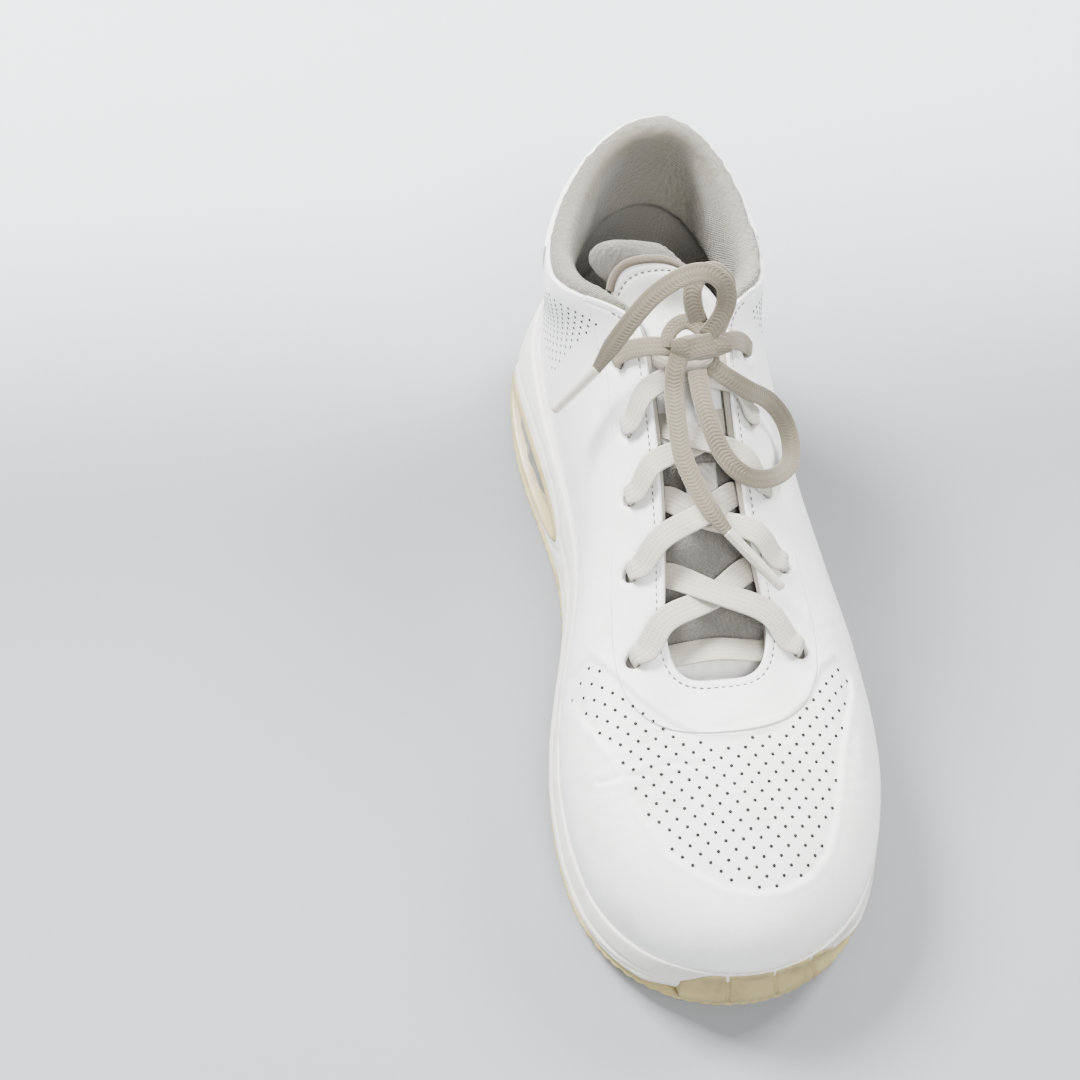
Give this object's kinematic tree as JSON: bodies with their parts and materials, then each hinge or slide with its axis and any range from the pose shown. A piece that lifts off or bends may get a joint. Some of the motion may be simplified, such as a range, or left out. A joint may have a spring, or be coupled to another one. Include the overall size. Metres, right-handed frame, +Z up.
{
  "type": "court shoe",
  "caption": "Left low-cut court shoe: white leather upper with perforated panels, padded collar and tongue, tied laces, cupsole with a heel air unit.",
  "frame": {"origin": "centre of the shoe's outline on the ground plane, at the bottom of the outsole", "axes": "+Z up; -Y towards the toe, +Y towards the heel; +X lateral, the outer side of a left shoe"},
  "size_m": [0.108, 0.2822, 0.1374],
  "materials": {
    "leather": "smooth coated white leather, lightly creased",
    "perforated_leather": "smooth coated white leather with small punched holes",
    "lining_knit": "brushed beige-grey knit",
    "facing": "cream woven backing",
    "foam": "open-cell foam, hidden",
    "stiffener": "moulded stiffener, hidden",
    "board": "stitched fibre board, hidden",
    "midsole": "moulded foam sidewall, off-white, slightly yellowed",
    "rubber": "cream moulded rubber",
    "rim": "cream moulded frame with yellowed edges",
    "air": "translucent grey-green bag",
    "lace": "flat braided lace, light grey-beige",
    "aglet": "clear hard tip"
  },
  "bodies": {
    "rear_shoe": {"quarter_lateral": "leather", "quarter_medial": "leather", "heel_panel": "perforated_leather", "vamp_flex": "perforated_leather", "eyestay": "leather", "eyestay_facing_lateral": "facing", "eyestay_facing_medial": "facing", "heel_counter": "stiffener", "quarter_lining_lateral": "facing", "quarter_lining_medial": "facing", "collar_foam": "foam", "collar_lining": "lining_knit", "outsole_rear": "rubber", "midsole_rear": "midsole", "window_rim_lateral": "rim", "window_rim_medial": "rim", "air_unit": "air", "strobel_board_rear": "board", "sockliner_rear": "lining_knit", "lace_4_lateral": "lace", "lace_4_medial": "lace", "lace_3_lateral": "lace", "lace_3_medial": "lace", "lace_2_lateral": "lace", "lace_2_medial": "lace", "lace_1_lateral": "lace", "lace_1_medial": "lace", "lace_bottom_bar": "lace", "lace_knot": "lace", "lace_top_lateral": "lace", "lace_top_medial": "lace", "bow_loop_upper": "lace", "bow_loop_lower": "lace", "bow_tail_medial": "lace", "bow_tail_front": "lace", "aglet_medial": "aglet", "aglet_front": "aglet"},
    "forefoot": {"toe_cap": "leather", "vamp_panel": "perforated_leather", "toe_puff": "stiffener", "vamp_lining": "facing", "outsole_forefoot": "rubber", "midsole_forefoot": "midsole", "toe_bumper": "rubber", "strobel_board_forefoot": "board", "sockliner_forefoot": "lining_knit"},
    "tongue": {"tongue_shell": "leather", "tongue_foam": "foam", "tongue_lining": "lining_knit", "tongue_keeper": "lace"}
  },
  "joints": [
    {"name": "toe_flex", "type": "hinge", "parent": "rear_shoe", "child": "forefoot", "pos_m": [-0.0015, -0.0699, 0.025], "axis": [-1, 0, 0], "range_deg": [0, 25], "stiffness_Nm_per_rad": 1, "deforming": ["vamp_flex"]},
    {"name": "tongue_swing", "type": "hinge", "parent": "rear_shoe", "child": "tongue", "pos_m": [-0.0015, -0.0539, 0.052], "axis": [1, 0, 0], "range_deg": [-12, 0], "stiffness_Nm_per_rad": 0.3}
  ]
}
